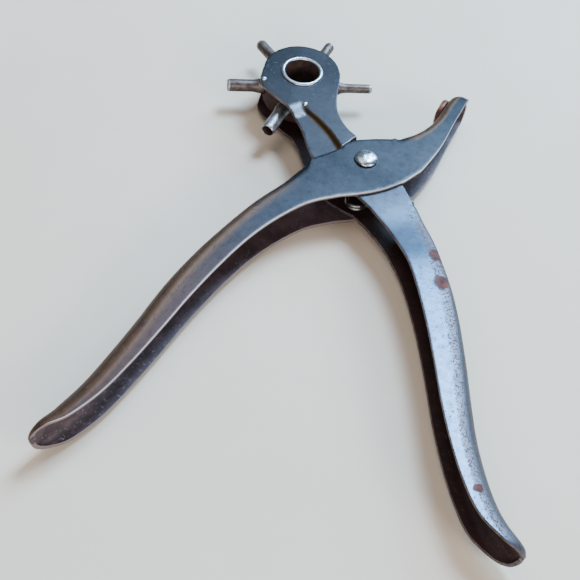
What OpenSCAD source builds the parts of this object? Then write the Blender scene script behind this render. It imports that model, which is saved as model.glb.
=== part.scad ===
// Revolving leather punch pliers: two levers pressed from sheet steel, a six-tube
// turret on a hollow rivet, a faced anvil, and a wire spring that opens the jaws.
// The turret axis is the origin, the plates lie across Z, and +Y points past the jaws.

/* [Levers] */
// Thickness of the sheet steel
sheet = 1.4; // [1.2:0.1:1.7]
// Height of both levers over their outer faces
channel_h = 15; // [12:0.1:18]
// Gap between the two levers where one passes inside the other
lever_gap = 0.15; // [0.1:0.05:0.3]
// Stretch of the handles beyond the pivot, 1 for the standard length
handle_stretch = 1; // [0.8:0.05:1.25]
// Bend radius of the folded edge near the pivot
fold_r = 2.6; // [2:0.1:3.2]
// Bend radius of the folded edge at the handle ends
grip_r = 5; // [4:0.1:5.5]
// Swing of the anvil lever from open to the anvil meeting the tube
closing_angle = 34.4; // [28:0.1:37]

/* [Pivot] */
// Diameter of the pivot rivet's shank
pivot_d = 5.8; // [4.5:0.1:7]
// Diameter of the rivet's domed heads
rivet_head_d = 8; // [7:0.1:10]
// Height of the domed heads
rivet_head_h = 1.9; // [1:0.1:2.5]
// Wall of the spacer sleeve between the inner plates
spacer_wall = 1.1; // [0.8:0.1:2]
// Radial running clearance of pivot and turret
running_gap = 0.05; // [0.02:0.01:0.1]

/* [Head] */
// Distance from the pivot to the turret axis
head_reach = 47.5; // [44:0.5:52]
// Radius of the rounded head plates
head_r = 14; // [13.7:0.1:16]
// Bore of the hollow rivet that carries the turret
eyelet_bore = 12.4; // [9:0.1:13]
// Wall of the hollow rivet
eyelet_wall = 0.9; // [0.7:0.1:1.2]
// Radius of the rolled lips of the hollow rivet
lip_r = 0.75; // [0.6:0.05:1]

/* [Turret] */
// Diameter of the turret wheel
wheel_d = 26.8; // [24:0.1:27.2]
// Clearance between the wheel and each head plate
wheel_gap = 0.2; // [0.1:0.05:0.5]
// Bores of the six punch tubes
tube_bores = [2.4, 2.8, 3.2, 3.6, 4, 2];
// Wall of the punch tubes
tube_wall = 0.5; // [0.4:0.05:0.7]
// Distance from the turret axis to the cutting edges
tube_reach = 26.9; // [25:0.1:30]
// Depth of the screwed-in root below the wheel's rim
root_depth = 4; // [3:0.1:5]
// Diameter of the screwed-in root
root_d = 5; // [4.8:0.1:5.4]
// Length of the cone between root and tube
cone_l = 3; // [2:0.1:4]

/* [Anvil] */
// Diameter of the anvil pad
anvil_d = 10; // [8:0.5:13]
// Thickness of the anvil pad
anvil_t = 2; // [1.5:0.1:2.2]
// Gap between the anvil and the cutting edge when closed
anvil_gap = 0.1; // [0.05:0.05:0.3]
// Shift of the pad's centre past the tube's axis, away from the pivot
anvil_shift = 1.5; // [0:0.1:2]
// Diameter of the stem that rivets the pad to the jaw
stem_d = 4; // [3:0.1:5]

/* [Springs] */
// Wire diameter of the spring that opens the levers
wire_d = 1.2; // [0.8:0.1:1.6]
// Mean radius of its coil
coil_r = 3.6; // [3:0.1:4]
// Wire diameter of the index spring
index_wire_d = 1; // [0.8:0.1:1.2]
// Diameter of the two studs that hold the index spring
pin_d = 1.6; // [1.2:0.1:1.8]

/* [Hidden] */
$fn = 96;

// Levels above the middle plane: the outer faces, the inner faces, and the same
// two faces of the plates that pass inside the other lever.
top = channel_h / 2;
under = top - sheet;
inner_top = under - lever_gap;
inner_under = inner_top - sheet;
eps = 0.01;

// Directions in degrees from +X, as seen from above
head_angle = 131.6;
punch_angle = 18;
tube_count = 6;
tube_step = 360 / tube_count;

function polar(r, a) = [r * cos(a), r * sin(a)];
function turned(p, a) = [p.x * cos(a) - p.y * sin(a), p.x * sin(a) + p.y * cos(a)];

// The pivot is the origin of every lever outline. The neck's points are drawn for a head
// at drawn_reach and stretch along the line to it.
pivot_to_head = polar(head_reach, head_angle);
drawn_reach = 47.5;
function necked(p) = p + (head_reach / drawn_reach - 1) * (p * polar(1, head_angle)) * polar(1, head_angle);

eyelet_r = eyelet_bore / 2 + eyelet_wall;
wheel_r = wheel_d / 2;
pivot_r = pivot_d / 2;

// Smooth curve through the points p, with n steps between each pair
function blend4(a, b, c, d, t) =
    0.5 * (2 * b + (c - a) * t + (2 * a - 5 * b + 4 * c - d) * t * t
           + (3 * b - a - 3 * c + d) * t * t * t);
function spline(p, n) = let (last = len(p) - 1) concat(
    [for (i = [0 : last - 1], k = [0 : n - 1])
        blend4(i == 0 ? 2 * p[0] - p[1] : p[i - 1], p[i], p[i + 1],
               i == last - 1 ? 2 * p[last] - p[last - 1] : p[i + 2], k / n)],
    [p[last]]);
function arc(centre, r, from, to, n) =
    [for (i = [0 : n]) centre + polar(r, from + (to - from) * i / n)];

// One station of a folded channel: free edge, folded edge, half height, bend radius.
// The section runs round the outside from the free edge and back round the inside.
bend_steps = 4;
function section(s) =
    let (free = [s[0], s[1]], fold = [s[2], s[3]], half = s[4],
         w = norm(fold - free), d = (fold - free) / w,
         r = min(s[5], w - eps, half - eps), ri = max(r - sheet, 0.1),
         quarter = [for (i = [0 : bend_steps]) 90 - 90 * i / bend_steps],
         outer_top = [for (a = quarter) [w - r + r * cos(a), half - r + r * sin(a)]],
         inner_top_arc = [for (a = quarter)
             [w - sheet - ri + ri * cos(a), half - sheet - ri + ri * sin(a)]],
         half_loop = concat([[0, half]], outer_top),
         half_back = concat([[0, half - sheet]], inner_top_arc),
         flip = function (l) [for (i = [len(l) - 1 : -1 : 0]) [l[i].x, -l[i].y]],
         rev = function (l) [for (i = [len(l) - 1 : -1 : 0]) l[i]],
         loop = concat(half_loop, flip(half_loop), [for (q = half_back) [q.x, -q.y]],
                       rev(half_back)))
    [for (q = loop) [free.x + d.x * q.x, free.y + d.y * q.x, q.y]];

// Sheet metal channel through a list of stations, folded on either side of its run
module channel(stations, steps) {
    rings = [for (s = spline(stations, steps)) section(s)];
    n = len(rings[0]);
    m = len(rings);
    run = [stations[1][0] - stations[0][0], stations[1][1] - stations[0][1]];
    depth = [stations[0][2] - stations[0][0], stations[0][3] - stations[0][1]];
    folded_left = cross(run, depth) > 0;
    walls = [for (i = [0 : m - 2], j = [0 : n - 1], half = [0, 1])
        let (a = i * n + j, b = i * n + (j + 1) % n, c = b + n, d = a + n)
        half == 0 ? [a, b, c] : [a, c, d]];
    ends = [for (end = [0, 1], j = [0 : n / 2 - 2], half = [0, 1])
        let (first = end * (m - 1) * n, a = first + j, b = a + 1, c = first + n - 2 - j, d = c + 1,
             face = half == 0 ? [a, b, c] : [a, c, d])
        end == 0 ? [face[2], face[1], face[0]] : face];
    polyhedron(
        points = [for (ring = rings) each ring],
        faces = [for (f = concat(walls, ends)) folded_left ? f : [f[2], f[1], f[0]]]);
}

// Both plates of a lever: one outline between two levels, above and below the middle
module plate_pair(low, high) {
    for (side = [0, 1])
        mirror([0, 0, side]) translate([0, 0, low]) linear_extrude(high - low) children();
}

module at_pivot() {
    translate([-pivot_to_head.x, -pivot_to_head.y, 0]) children();
}

// Half height and bend radius along a lever: lift goes from the inner to the outer level
function lift(share) = inner_top + (top - inner_top) * share;
function bend(share) = fold_r + (grip_r - fold_r) * share;
function handle_station(free_x, free_y, fold_x, fold_y, half, bend_share) =
    [free_x, free_y * handle_stretch, fold_x, fold_y * handle_stretch, half, bend(bend_share)];

// ---- Anvil lever ----
// Free edge and folded edge of its handle, from the pivot plates to the tip
anvil_handle = [
    handle_station(-5, -19, -21.2, -11.8, top, 0),
    handle_station(-14, -25.2, -25, -19.3, top, 0),
    handle_station(-21.9, -34.7, -31.9, -30.3, top, 0.1),
    handle_station(-28.9, -46.4, -38.3, -43.3, top, 0.2),
    handle_station(-34.9, -60.3, -44.4, -57.3, top, 0.4),
    handle_station(-40.3, -75.5, -49.7, -72.7, top, 0.6),
    handle_station(-45, -90.9, -53.7, -88.5, top, 0.8),
    handle_station(-49.8, -105.5, -57.7, -102.7, top, 1),
    handle_station(-54.5, -117.4, -61.4, -114.7, top, 1),
    handle_station(-60.3, -127.2, -65.5, -124.3, top, 1),
    handle_station(-65, -131.6, -68.1, -129.9, top * 0.93, 1),
    handle_station(-67.9, -134.1, -69.6, -132.9, top * 0.66, 1),
    handle_station(-69.2, -135, -70.2, -134.2, top * 0.25, 1)];

// Middle of the anvil pad's face, level with the cutting edge once the levers close
anvil_face = turned(
    pivot_to_head + polar(tube_reach + anvil_gap, punch_angle)
        + polar(anvil_shift, punch_angle + 90),
    -closing_angle);
// The jaw, from the pivot plates to the tip. Its folded edge faces the turret. The points
// are drawn for a pad face at drawn_face and a pad of drawn_t, and follow the pad's back.
drawn_face = [20.37, 40.94];
drawn_t = 2;
pad_angle = punch_angle - closing_angle;
jaw_shift = anvil_face - drawn_face + polar(anvil_t - drawn_t, pad_angle);
function jaw_station(share, free_x, free_y, fold_x, fold_y, half) =
    [free_x + share * jaw_shift.x, free_y + share * jaw_shift.y,
     fold_x + share * jaw_shift.x, fold_y + share * jaw_shift.y, half, fold_r];
anvil_jaw = [
    jaw_station(0, 19.5, 2, 9.9, 15.9, top),
    jaw_station(0.1, 22, 9, 13.9, 19.5, top),
    jaw_station(0.3, 24.1, 16, 17, 23.7, top * 0.98),
    jaw_station(0.6, 25.4, 22.5, 19.2, 28.1, top * 0.95),
    jaw_station(0.9, 26.7, 30, 20.7, 32.7, top * 0.92),
    jaw_station(1, 28.1, 37, 21.9, 38.5, top * 0.89),
    jaw_station(1, 29.2, 42.4, 23.5, 43.8, top * 0.84),
    jaw_station(1, 30, 45.8, 25.8, 47, top * 0.7),
    jaw_station(1, 29.8, 47.6, 28, 48.2, top * 0.3)];

// The plates round the pivot. Their rounded corner stops short of the joggle in the neck.
plate_r = 9.6;
module anvil_plate_outline() {
    free_edge = [[-14, -25.2], [-9.6, -21.8], [-5, -19], [0, -16.6], [5, -13.7],
                 [10, -9.9], [15, -4.8], [19.5, 2], [22, 9], [24.1, 16]];
    jaw_side = [[19, 22.8], [16, 18.5], [12.9, 15.7], [9, 13.6], [5, 12.3], [1, 10.9]];
    handle_side = [[-12.3, -0.6], [-17.3, -5.2], [-20.4, -11.6]];
    polygon(concat(
        spline(free_edge, 5), spline(jaw_side, 4),
        arc([0, 0], plate_r, 108, 166, 8),
        spline(handle_side, 4), [[-22, -20.9]]));
}

// Puts an X axis through the pad, from its face into the jaw
module at_anvil() {
    translate([anvil_face.x, anvil_face.y, 0])
        rotate([0, 0, pad_angle]) rotate([0, 90, 0]) children();
}

module anvil_lever() {
    color("#4a5260") at_pivot() difference() {
        union() {
            plate_pair(under, top) anvil_plate_outline();
            channel(anvil_handle, 4);
            channel(anvil_jaw, 4);
        }
        cylinder(r = pivot_r + running_gap, h = 2 * channel_h, center = true);
        at_anvil() cylinder(d = stem_d, h = 8);
    }
}

// ---- Turret lever ----
// Its handle starts inside the anvil lever and rises to full height beyond it
turret_handle = [
    handle_station(5.2, -19, 21.4, -13.8, inner_top, 0),
    handle_station(12.7, -26, 25.1, -19.8, inner_top, 0),
    handle_station(17.9, -32.3, 29.4, -26.8, lift(0.4), 0),
    handle_station(22.7, -39.5, 33.3, -34.6, lift(0.9), 0.1),
    handle_station(27.7, -50, 38.5, -45.5, top, 0.2),
    handle_station(32.4, -61.6, 43, -57.3, top, 0.4),
    handle_station(37.4, -75.8, 47.7, -72.6, top, 0.6),
    handle_station(41.9, -89.4, 51.6, -86.8, top, 0.8),
    handle_station(46.9, -102.2, 55.6, -99.6, top, 1),
    handle_station(52.6, -114.1, 60.5, -111.3, top, 1),
    handle_station(58.6, -123, 65.1, -119.5, top, 1),
    handle_station(66.4, -128.4, 69.7, -124.5, top * 0.94, 1),
    handle_station(71.4, -130, 72.6, -127, top * 0.68, 1),
    handle_station(73.4, -130, 74.2, -128.4, top * 0.25, 1)];

// Studs in the upper head plate, just outside the wheel's rim, that hold the index spring
pin_r = pin_d / 2;
pin_reach = wheel_r + pin_r + 0.6;
ear_angle = 214;
neck_angle = 287.5;
ear_pin = pivot_to_head + polar(pin_reach, ear_angle);
neck_pin_reach = pin_reach + 1.8;
neck_pin = pivot_to_head + polar(neck_pin_reach, neck_angle);
ear_r = pin_r + 1.1;

// The neck is pressed inwards below this line, which starts just below the neck pin
step_start = neck_pin + [1.55, -2.09];
step_rest = [for (p = [[-20.6, 14.6], [-15, 9.8], [-10.6, 4.8]]) necked(p)];
step_line = spline(concat([step_start], step_rest), 4);
joggle_r = plate_r + 1.6;

module head_outline() {
    right_edge = [for (p = [[-17.6, 35], [-16.6, 27], [-14.2, 18.8], [-9, 12.4], [-3.6, 9]]) necked(p)];
    left_edge = [for (p = [[-17, -4.8], [-21.5, 2.2], [-25.6, 9.5], [-30, 15], [-36, 19], [-43, 24.6]])
        necked(p)];
    translate(pivot_to_head) circle(r = head_r);
    translate(ear_pin) circle(r = ear_r);
    polygon(concat(spline(right_edge, 4), [[0, 0]], spline(left_edge, 4), [pivot_to_head]));
}

module recess_outline() {
    polygon(concat(step_line, [for (p = [[-9, 0], [-9, -14], [-24, -8], [-34, 6], [-30, 15.4]]) necked(p)]));
}

// Band of sheet thickness on the outer side of the step line
module step_outline() {
    n = len(step_line);
    shifted = [for (i = [n - 1 : -1 : 0])
        let (d = step_line[min(i + 1, n - 1)] - step_line[max(i - 1, 0)])
        step_line[i] + sheet * [-d.y, d.x] / norm(d)];
    polygon(concat(step_line, shifted));
}

module handle_root_outline() {
    free_edge = [[-21.5, 2.2], [-17, -4.8], [-10, -11.6], [-4, -14.4], [0.5, -15.9],
                 [5.2, -19], [12.7, -26 * handle_stretch]];
    back_edge = [[18.3, -14.9], [18, -11.8], [14.8, -7.2], [9.4, 1.6], [3, 7.6], [-3.6, 9]];
    polygon(concat(spline(free_edge, 4), [[21.8, -20.9 * handle_stretch]], spline(back_edge, 4)));
}

module turret_lever() {
    color("#8592a6") at_pivot() difference() {
        union() {
            plate_pair(under, top) difference() {
                head_outline();
                recess_outline();
                circle(r = joggle_r);
            }
            plate_pair(inner_under, top) intersection() {
                head_outline();
                difference() {
                    union() {
                        step_outline();
                        difference() {
                            circle(r = joggle_r + sheet);
                            recess_outline();
                        }
                    }
                    circle(r = joggle_r);
                }
            }
            plate_pair(inner_under, inner_top) {
                intersection() {
                    head_outline();
                    union() {
                        recess_outline();
                        circle(r = joggle_r + eps);
                    }
                }
                handle_root_outline();
            }
            channel(turret_handle, 4);
        }
        cylinder(r = pivot_r, h = 2 * channel_h, center = true);
        translate(pivot_to_head) cylinder(r = eyelet_r, h = 2 * channel_h, center = true);
        for (pin = [ear_pin, neck_pin]) translate(pin) cylinder(r = pin_r, h = channel_h);
    }
}

// ---- Pivot ----
module dome(base_r, h) {
    ball_r = (base_r * base_r + h * h) / (2 * h);
    intersection() {
        translate([0, 0, h - ball_r]) sphere(r = ball_r);
        cylinder(r = base_r, h = h + eps);
    }
}

module pivot_rivet() {
    seat = top + lever_gap / 3;
    color("#9aa0a6") at_pivot() {
        cylinder(r = pivot_r, h = 2 * seat, center = true);
        for (side = [0, 1]) mirror([0, 0, side]) translate([0, 0, seat]) {
            cylinder(d = rivet_head_d, h = 0.4);
            translate([0, 0, 0.4]) dome(rivet_head_d / 2, rivet_head_h - 0.4);
        }
    }
}

module pivot_spacer() {
    color("#5b5f63") at_pivot() difference() {
        cylinder(r = pivot_r + running_gap + spacer_wall, h = 2 * inner_under, center = true);
        cylinder(r = pivot_r + running_gap, h = channel_h, center = true);
    }
}

// A wire tube swept along a route of points
wire_sides = 10;
module wire(route, r) {
    n = len(route);
    rings = [for (i = [0 : n - 1])
        let (d = route[min(i + 1, n - 1)] - route[max(i - 1, 0)],
             along = d / norm(d),
             side = cross(along, [0, 0, 1]) / norm(cross(along, [0, 0, 1])),
             rise = cross(side, along))
        [for (k = [0 : wire_sides - 1]) let (a = 360 * k / wire_sides)
            route[i] + r * (side * cos(a) + rise * sin(a))]];
    polyhedron(
        points = [for (ring = rings) each ring],
        faces = concat(
            [for (i = [0 : n - 2], j = [0 : wire_sides - 1], half = [0, 1])
                let (a = i * wire_sides + j, b = i * wire_sides + (j + 1) % wire_sides,
                     c = b + wire_sides, d = a + wire_sides)
                half == 0 ? [a, c, b] : [a, d, c]],
            [[for (j = [0 : wire_sides - 1]) j],
             [for (j = [wire_sides - 1 : -1 : 0]) (n - 1) * wire_sides + j]]));
}

// Opening spring: a coil under the pivot, with a straight leg against each handle's fold
coil_centre = [0.6, -12.6];
coil_full_turns = 2;
leg_gap = 0.03;
// Where a leg's end rests inside the fold, a share t of the way from station a to station b
function inside_fold(a, b, t, side) =
    let (p = [a[2], a[3]], q = [b[2], b[3]], d = (q - p) / norm(q - p))
    p + t * (q - p) + side * (sheet + wire_d / 2 + leg_gap) * [-d.y, d.x];
leg_end_a = inside_fold(anvil_handle[1], anvil_handle[2], 0.23, 1);
leg_end_b = inside_fold(turret_handle[1], turret_handle[2], 0.48, -1);
// Angle on the coil where a straight leg to the point leaves it; side is 1 or -1
function tangent_angle(point, side) =
    let (d = point - coil_centre) atan2(d.y, d.x) + side * acos(coil_r / norm(d));
module return_spring() {
    from = tangent_angle(leg_end_b, 1);
    to = tangent_angle(leg_end_a, -1) + 360 * (coil_full_turns + 1);
    rise = (wire_d + 0.15) * (to - from) / 360;
    coil_steps = 48;
    coil = [for (i = [0 : coil_steps])
        let (p = coil_centre + polar(coil_r, from + (to - from) * i / coil_steps))
        [p.x, p.y, rise * (i / coil_steps - 0.5)]];
    route = concat(
        [for (t = [1, 0.5, 0.2]) let (e = [leg_end_b.x, leg_end_b.y, coil[0].z])
            coil[0] + (e - coil[0]) * t],
        coil,
        [for (t = [0.2, 0.5, 1]) let (e = [leg_end_a.x, leg_end_a.y, coil[coil_steps].z])
            coil[coil_steps] + (e - coil[coil_steps]) * t]);
    color("#b9bcc0") at_pivot() wire(route, wire_d / 2);
}

// ---- Turret ----
wheel_h = 2 * (under - wheel_gap);
notch_r = 0.8;
notch_depth = 1.9;
root_r = root_d / 2;
slug_r = root_r - 0.5;

module turret_wheel() {
    chamfer = 0.6;
    half = wheel_h / 2;
    color("#4b3a33") difference() {
        rotate_extrude() polygon([
            [eyelet_r + running_gap, -half], [wheel_r - chamfer, -half],
            [wheel_r, chamfer - half], [wheel_r, half - chamfer],
            [wheel_r - chamfer, half], [eyelet_r + running_gap, half]]);
        for (i = [0 : tube_count - 1]) rotate([0, 0, punch_angle + i * tube_step]) {
            rotate([0, 90, 0]) cylinder(r = slug_r, h = wheel_r);
            translate([wheel_r - root_depth, 0, 0]) rotate([0, 90, 0])
                cylinder(r = root_r + 0.02, h = root_depth + 1);
            rotate([0, 0, tube_step / 2]) translate([wheel_r, 0, half - notch_depth])
                cylinder(r = notch_r, h = channel_h);
        }
    }
}

// One screwed-in tube along +X: root, cone, tube and sharpened edge
module punch_tube(i) {
    bore_r = tube_bores[i] / 2;
    tube_r = bore_r + tube_wall;
    edge = 0.8;
    cone_r = root_r + 0.3;
    color("#6e6a68") rotate([0, 0, punch_angle + i * tube_step]) rotate([0, 90, 0])
        difference() {
            union() {
                translate([0, 0, wheel_r - root_depth]) cylinder(r = root_r, h = root_depth);
                translate([0, 0, wheel_r + 0.02]) cylinder(r1 = cone_r, r2 = tube_r, h = cone_l);
                translate([0, 0, wheel_r - eps]) cylinder(r = tube_r, h = tube_reach - edge - wheel_r + eps);
                translate([0, 0, tube_reach - edge])
                    cylinder(r1 = tube_r, r2 = bore_r + 0.1, h = edge);
            }
            translate([0, 0, wheel_r - root_depth - 1]) cylinder(r = bore_r, h = tube_reach);
        }
}
module punch_tube_1() punch_tube(0);
module punch_tube_2() punch_tube(1);
module punch_tube_3() punch_tube(2);
module punch_tube_4() punch_tube(3);
module punch_tube_5() punch_tube(4);
module punch_tube_6() punch_tube(5);

// Hollow rivet with a rolled lip on each face
module turret_axle() {
    color("#a9adb1") difference() {
        union() {
            cylinder(r = eyelet_r, h = 2 * top, center = true);
            for (side = [-1, 1]) translate([0, 0, side * (top + 0.05)])
                rotate_extrude() translate([eyelet_r - eyelet_wall + lip_r, 0]) circle(r = lip_r);
        }
        cylinder(d = eyelet_bore, h = 2 * channel_h, center = true);
        // The lips stop at the plates
        difference() {
            cylinder(r = eyelet_r + 2 * lip_r, h = 2 * top, center = true);
            cylinder(r = eyelet_r, h = 3 * top, center = true);
        }
    }
}

// Bowed wire beside the tubes, hooked on both pins and resting in a rim notch
index_level = wheel_h / 2 - index_wire_d / 2 - 0.15;
stud_foot = index_level - index_wire_d / 2;
module index_spring() {
    bow_r = wheel_r + index_wire_d / 2 + 0.1;
    notch_angle = punch_angle + 3.5 * tube_step;
    hook_r = pin_r + index_wire_d / 2 + 0.12;
    bow = concat(
        [[pin_reach + hook_r, ear_angle], [pin_reach + 0.65 * hook_r, ear_angle + 5.6],
         [bow_r + 0.3, ear_angle + 9]],
        [[bow_r - 0.1, notch_angle - 3], [bow_r - 0.5, notch_angle], [bow_r - 0.1, notch_angle + 4]],
        [for (a = [notch_angle + 12 : 8 : neck_angle - 12]) [bow_r, a]],
        [[neck_pin_reach - hook_r, neck_angle], [neck_pin_reach - hook_r, neck_angle + 5]]);
    route = spline([for (p = bow) polar(p[0], p[1])], 3);
    color("#8d8f91") wire([for (p = route) [p.x, p.y, index_level]], index_wire_d / 2);
}

// Two studs riveted into the upper plates. They end above the turning tubes.
module index_pins() {
    head_h = 0.35;
    color("#c3c6c9") at_pivot() for (pin = [ear_pin, neck_pin]) translate(pin) {
        translate([0, 0, stud_foot]) cylinder(r = pin_r, h = top - stud_foot);
        translate([0, 0, top - eps]) dome(pin_r, head_h);
    }
}

// ---- Anvil ----
// Pad with a stem through the jaw, peened over inside it
module anvil() {
    chamfer = 0.3;
    peen_h = 0.8;
    stem_l = 4.6;
    color("#a5623c") at_pivot() at_anvil() {
        cylinder(d1 = anvil_d - 2 * chamfer, d2 = anvil_d, h = chamfer);
        translate([0, 0, chamfer]) cylinder(d = anvil_d, h = anvil_t - chamfer);
        cylinder(d = stem_d, h = stem_l);
        translate([0, 0, stem_l]) dome(stem_d / 2 + 0.8, peen_h);
    }
}

turret_lever();
anvil_lever();
pivot_rivet();
pivot_spacer();
return_spring();
turret_wheel();
turret_axle();
punch_tube_1();
punch_tube_2();
punch_tube_3();
punch_tube_4();
punch_tube_5();
punch_tube_6();
index_spring();
index_pins();
anvil();
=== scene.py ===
"""Looks for the rotary hole punch: pressed-steel levers, turret, rivets, springs and worn metal."""
import math

import bmesh
import bpy
import numpy as np
from mathutils import Matrix, Vector, geometry, noise


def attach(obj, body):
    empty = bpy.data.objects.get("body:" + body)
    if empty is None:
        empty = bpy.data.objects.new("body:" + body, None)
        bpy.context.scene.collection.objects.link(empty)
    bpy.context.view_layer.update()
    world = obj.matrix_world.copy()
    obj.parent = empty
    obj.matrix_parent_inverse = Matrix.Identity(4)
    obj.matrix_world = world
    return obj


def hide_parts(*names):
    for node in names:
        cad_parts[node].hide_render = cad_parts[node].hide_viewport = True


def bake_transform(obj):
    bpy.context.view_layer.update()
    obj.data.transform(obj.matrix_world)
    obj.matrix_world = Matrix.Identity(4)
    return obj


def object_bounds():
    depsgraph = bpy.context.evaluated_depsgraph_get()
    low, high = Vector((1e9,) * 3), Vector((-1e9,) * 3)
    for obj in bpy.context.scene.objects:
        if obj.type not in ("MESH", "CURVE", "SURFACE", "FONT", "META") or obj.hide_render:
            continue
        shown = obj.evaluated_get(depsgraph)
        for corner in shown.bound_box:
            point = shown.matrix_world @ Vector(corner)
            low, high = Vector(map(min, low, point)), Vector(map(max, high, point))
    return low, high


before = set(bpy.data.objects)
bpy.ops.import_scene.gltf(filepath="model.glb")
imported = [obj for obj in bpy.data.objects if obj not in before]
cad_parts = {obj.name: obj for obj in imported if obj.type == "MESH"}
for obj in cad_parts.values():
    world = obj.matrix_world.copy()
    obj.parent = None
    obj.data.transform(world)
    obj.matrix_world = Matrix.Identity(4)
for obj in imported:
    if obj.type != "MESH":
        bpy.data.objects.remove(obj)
cad_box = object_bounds()

MM = 0.001

# ------------------------------------------------------------------ driving sizes, in mm
SHEET = 1.4
TOP = 7.5
UNDER = TOP - SHEET
INNER_TOP = UNDER - 0.15
INNER_UNDER = INNER_TOP - SHEET
INDEX_LEVEL = UNDER - 0.85
STUD_FOOT = INDEX_LEVEL - 0.5
FOLD_R = 2.6
GRIP_R = 5.0
PIVOT = (31.5365, -35.5204)
PUNCH_ANGLE = 18.0
CLOSING_ANGLE = 34.4
HEAD = np.array((-PIVOT[0], -PIVOT[1]))
HEAD_R = 14
PLATE_R = 9.6
EYE_R = 6.2
WHEEL_R = 13.4
TUBE_REACH = 26.9
TUBE_BORES = (2.4, 2.8, 3.2, 3.6, 4.0, 2.0)
TUBE_WALL = 0.5
EYELET_WALL = 0.9
LIP_R = 0.75
RIVET_HEAD_R = 4.0
SHANK_R = 2.9
INDEX_WIRE_R = 0.5
WIRE_R = 0.6
ROOT_DEPTH = 3.9
RUBBED_TUBE = 4

# Studs of the upper head plate: distance and angle from the turret axis
EAR_STUD = (14.8, 214)
NECK_STUD = (16.6, 287.5)


def polar(r, degrees):
    a = math.radians(degrees)
    return np.array((r * math.cos(a), r * math.sin(a)))


def smooth(x, low, high):
    t = np.clip((x - low) / (high - low), 0, 1)
    return t * t * (3 - 2 * t)


def spline(points, steps):
    """Catmull-Rom curve through the rows of points, with the given steps between each pair."""
    p = np.asarray(points, float)
    p = np.vstack((2 * p[0] - p[1], p, 2 * p[-1] - p[-2]))
    rows = []
    for i in range(1, len(p) - 2):
        a, b, c, d = p[i - 1 : i + 3]
        for t in np.arange(steps) / steps:
            rows.append(
                0.5
                * (
                    2 * b
                    + (c - a) * t
                    + (2 * a - 5 * b + 4 * c - d) * t**2
                    + (3 * b - a - 3 * c + d) * t**3
                )
            )
    rows.append(p[-2])
    return np.array(rows)


# ------------------------------------------------------------------ materials
class Graph:
    """Short names for the shader nodes of one material."""

    def __init__(self, name):
        self.material = bpy.data.materials.new(name)
        self.material.use_nodes = True
        self.tree = self.material.node_tree
        self.shader = self.tree.nodes["Principled BSDF"]
        self.place = self.tree.nodes.new("ShaderNodeTexCoord").outputs["Object"]

    def node(self, kind, **inputs):
        n = self.tree.nodes.new("ShaderNode" + kind)
        for key, value in inputs.items():
            if hasattr(n, key):
                setattr(n, key, value)
        return n

    def link(self, a, b):
        self.tree.links.new(a, b)

    def noise(self, per_mm, detail=6, roughness=0.6, stretch=None, shift=0.0):
        """Fractal noise with the given number of features per millimetre."""
        n = self.node("TexNoise")
        n.inputs["Scale"].default_value = per_mm / MM
        n.inputs["Detail"].default_value = detail
        n.inputs["Roughness"].default_value = roughness
        m = self.node("Mapping")
        m.inputs["Location"].default_value = (shift * MM,) * 3
        if stretch:
            m.inputs["Rotation"].default_value = (0, 0, math.radians(stretch[0]))
            m.inputs["Scale"].default_value = (stretch[1], 1, 1)
        self.link(self.place, m.inputs["Vector"])
        self.link(m.outputs["Vector"], n.inputs["Vector"])
        return n.outputs["Fac"]

    def ramp(self, value, low, high, invert=False):
        """0 below low, 1 above high, smooth between."""
        n = self.node("MapRange", interpolation_type="SMOOTHSTEP")
        n.inputs["From Min"].default_value = low
        n.inputs["From Max"].default_value = high
        n.inputs["To Min"].default_value = 1.0 if invert else 0.0
        n.inputs["To Max"].default_value = 0.0 if invert else 1.0
        self.link(value, n.inputs["Value"])
        return n.outputs["Result"]

    def math(self, operation, a, b):
        n = self.node("Math", operation=operation)
        for socket, value in zip(n.inputs, (a, b)):
            if isinstance(value, (int, float)):
                socket.default_value = value
            else:
                self.link(value, socket)
        return n.outputs["Value"]

    def mix(self, share, a, b):
        """Colour a where share is 0, colour b where it is 1."""
        n = self.node("Mix", data_type="RGBA")
        for socket, value in ((n.inputs[0], share), (n.inputs[6], a), (n.inputs[7], b)):
            if isinstance(value, tuple):
                socket.default_value = (*value, 1)
            elif isinstance(value, (int, float)):
                socket.default_value = value
            else:
                self.link(value, socket)
        return n.outputs[2]

    def attribute(self, name):
        return self.node("Attribute", attribute_name=name).outputs["Fac"]

    def distance(self):
        """Metres from the turret axis at mid height."""
        n = self.node("VectorMath", operation="LENGTH")
        self.link(self.place, n.inputs[0])
        return n.outputs["Value"]

    def spot(self, centre, radius, ragged):
        """1 inside a ragged round spot at a place given in mm."""
        n = self.node("VectorMath", operation="DISTANCE")
        self.link(self.place, n.inputs[0])
        n.inputs[1].default_value = [c * MM for c in centre]
        edge = self.math("MULTIPLY", self.math("SUBTRACT", ragged, 0.5), radius * 1.6 * MM)
        away = self.math("ADD", n.outputs["Value"], edge)
        return self.ramp(away, radius * 0.75 * MM, radius * 1.1 * MM, invert=True)

    def finish(self, colour, roughness, height, depth_mm, metallic=1.0):
        surface = {"Base Color": colour, "Roughness": roughness, "Metallic": metallic}
        for socket, value in surface.items():
            if isinstance(value, (int, float)):
                self.shader.inputs[socket].default_value = value
            else:
                self.link(value, self.shader.inputs[socket])
        bump = self.node("Bump")
        bump.inputs["Distance"].default_value = depth_mm * MM
        bump.inputs["Strength"].default_value = 1.0
        self.link(height, bump.inputs["Height"])
        self.link(bump.outputs["Normal"], self.shader.inputs["Normal"])
        return self.material


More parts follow.
